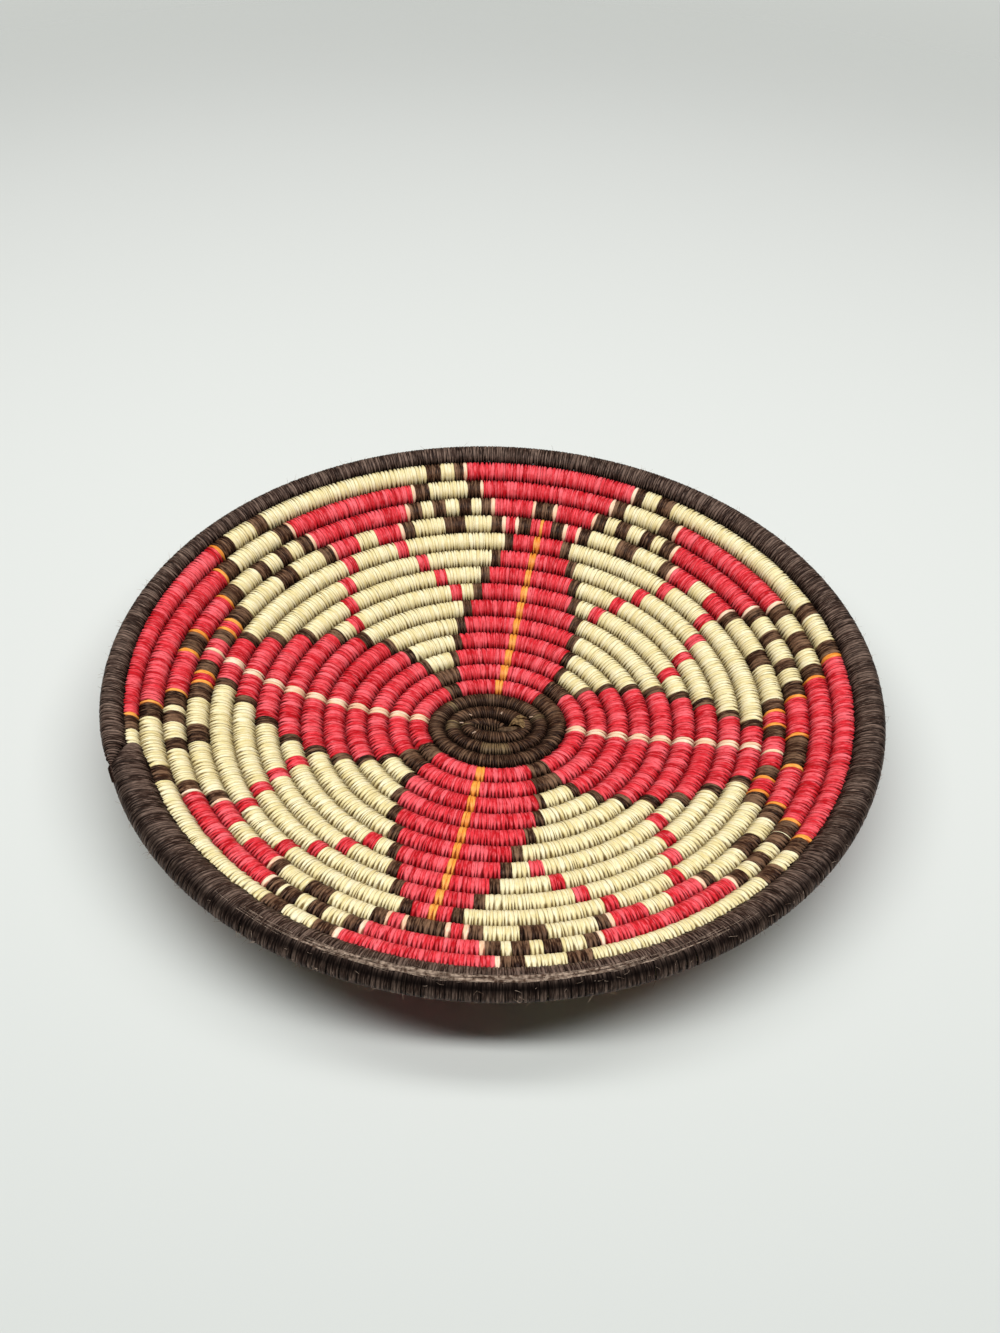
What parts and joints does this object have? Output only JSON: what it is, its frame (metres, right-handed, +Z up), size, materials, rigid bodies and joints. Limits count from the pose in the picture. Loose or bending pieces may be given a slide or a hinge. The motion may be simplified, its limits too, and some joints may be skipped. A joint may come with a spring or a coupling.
{
  "type": "coiled tray basket",
  "caption": "Shallow dished, slightly oval coiled basket tray: a grass bundle wrapped in dyed strands with a petal pattern and a thick dark rim, for serving, storing or display.",
  "frame": {"origin": "middle of the foot, on the surface that the basket stands on", "axes": "+Z up out of the open side, +X along the longer side of the slightly oval outline, +Y away from the viewer"},
  "size_m": [0.3135, 0.3038, 0.0419],
  "materials": {
    "grass_bundle": "dry grass stems, matte",
    "brown_raffia": "dark brown dyed strands, soft sheen",
    "patterned_raffia": "red, cream, dark brown and orange dyed strands, soft sheen"
  },
  "bodies": {
    "root": {"foundation_coil": "grass_bundle", "wrap_start_strip": "brown_raffia", "wrap_centre_ring_1": "brown_raffia", "wrap_centre_ring_2": "brown_raffia", "wrap_row_01": "patterned_raffia", "wrap_row_02": "patterned_raffia", "wrap_row_03": "patterned_raffia", "wrap_row_04": "patterned_raffia", "wrap_row_05": "patterned_raffia", "wrap_row_06": "patterned_raffia", "wrap_row_07": "patterned_raffia", "wrap_row_08": "patterned_raffia", "wrap_row_09": "patterned_raffia", "wrap_row_10": "patterned_raffia", "wrap_row_11": "patterned_raffia", "wrap_row_12": "patterned_raffia", "wrap_row_13": "patterned_raffia", "wrap_row_14": "patterned_raffia", "rim_wrap": "brown_raffia"}
  },
  "joints": []
}
